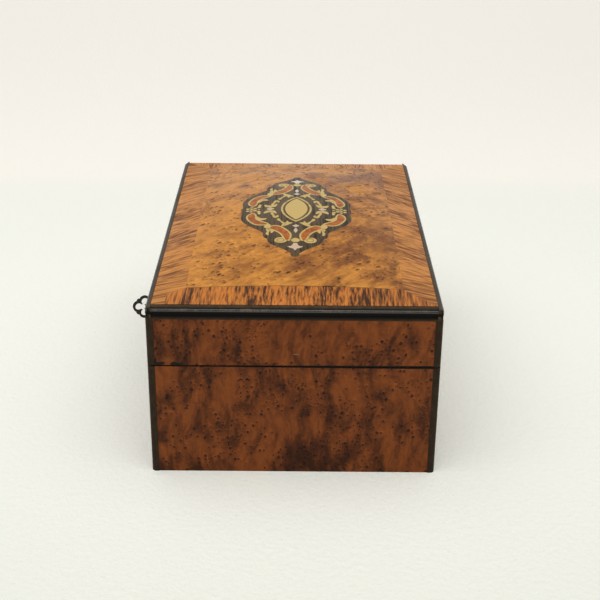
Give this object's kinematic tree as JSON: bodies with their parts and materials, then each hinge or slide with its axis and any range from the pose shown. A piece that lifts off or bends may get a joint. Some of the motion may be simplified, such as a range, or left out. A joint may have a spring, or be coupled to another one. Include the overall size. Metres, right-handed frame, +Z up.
{
  "type": "marquetry box",
  "caption": "Rectangular veneered wooden box with a cushion-domed hinged lid, inlaid cartouche, ebonised edges, lock and key.",
  "frame": {"origin": "middle of the underside", "axes": "+X along the length, -Y the lock side, +Y the hinge side, +Z up"},
  "size_m": [0.271, 0.2082, 0.1234],
  "materials": {
    "carcass_wood": "oiled",
    "side_burl": "polished",
    "lid_burl": "polished",
    "crossband": "polished",
    "ebonised": "polished",
    "ebony": "polished",
    "inlay_wood": "polished",
    "inlay_brass": "polished",
    "pearl": "polished",
    "lining": "velvet",
    "lock_brass": "satin",
    "dark_steel": "dark patina"
  },
  "bodies": {
    "case": {"bottom_board": "carcass_wood", "body_front_board": "carcass_wood", "body_back_board": "carcass_wood", "body_left_board": "carcass_wood", "body_right_board": "carcass_wood", "body_front_veneer": "side_burl", "body_back_veneer": "side_burl", "body_left_veneer": "side_burl", "body_right_veneer": "side_burl", "body_corner_posts": "ebonised", "body_floor_lining": "lining", "body_wall_lining": "lining", "lock_case": "lock_brass", "lock_cover_plate": "lock_brass", "lock_spring": "dark_steel", "lock_drill_pin": "dark_steel", "escutcheon": "lock_brass", "lock_screws": "lock_brass", "body_hinge_screws": "lock_brass", "hinge_left_body_leaf": "lock_brass", "hinge_right_body_leaf": "lock_brass", "hinge_left_pin": "lock_brass", "hinge_right_pin": "lock_brass"},
    "lid": {"lid_front_board": "carcass_wood", "lid_back_board": "carcass_wood", "lid_left_board": "carcass_wood", "lid_right_board": "carcass_wood", "lid_top_board": "carcass_wood", "lid_front_veneer": "side_burl", "lid_back_veneer": "side_burl", "lid_left_veneer": "side_burl", "lid_right_veneer": "side_burl", "lid_front_crossband": "crossband", "lid_back_crossband": "crossband", "lid_left_crossband": "crossband", "lid_right_crossband": "crossband", "lid_front_moulding": "ebonised", "lid_back_moulding": "ebonised", "lid_left_moulding": "ebonised", "lid_right_moulding": "ebonised", "lid_burl_field": "lid_burl", "cartouche_ground": "ebony", "cartouche_brass": "inlay_brass", "cartouche_wood": "inlay_wood", "cartouche_pearl": "pearl", "cartouche_plaque": "inlay_brass", "lid_corner_posts": "ebonised", "lid_top_lining": "lining", "lid_wall_lining": "lining", "strike_plate": "lock_brass", "strike_screws": "lock_brass", "lid_hinge_screws": "lock_brass", "hinge_left_lid_leaf": "lock_brass", "hinge_right_lid_leaf": "lock_brass"},
    "lock_bolt": {"lock_bolt": "dark_steel"},
    "key": {"key": "dark_steel"}
  },
  "joints": [
    {"name": "lid_hinge", "type": "hinge", "parent": "case", "child": "lid", "pos_m": [0, 0.0893, 0.0736], "axis": [-1, 0, 0], "range_deg": [0, 100]},
    {"name": "key_turn", "type": "hinge", "parent": "case", "child": "key", "pos_m": [0, -0.081, 0.049], "axis": [0, 1, 0], "range_deg": [0, 74]},
    {"name": "bolt_slide", "type": "slide", "parent": "case", "child": "lock_bolt", "axis": [1, 0, 0], "range_m": [0, 0.00662]}
  ],
  "couplings": [
    {"joint": "key_turn", "follows": "bolt_slide", "rad_per_m": 195.1}
  ]
}
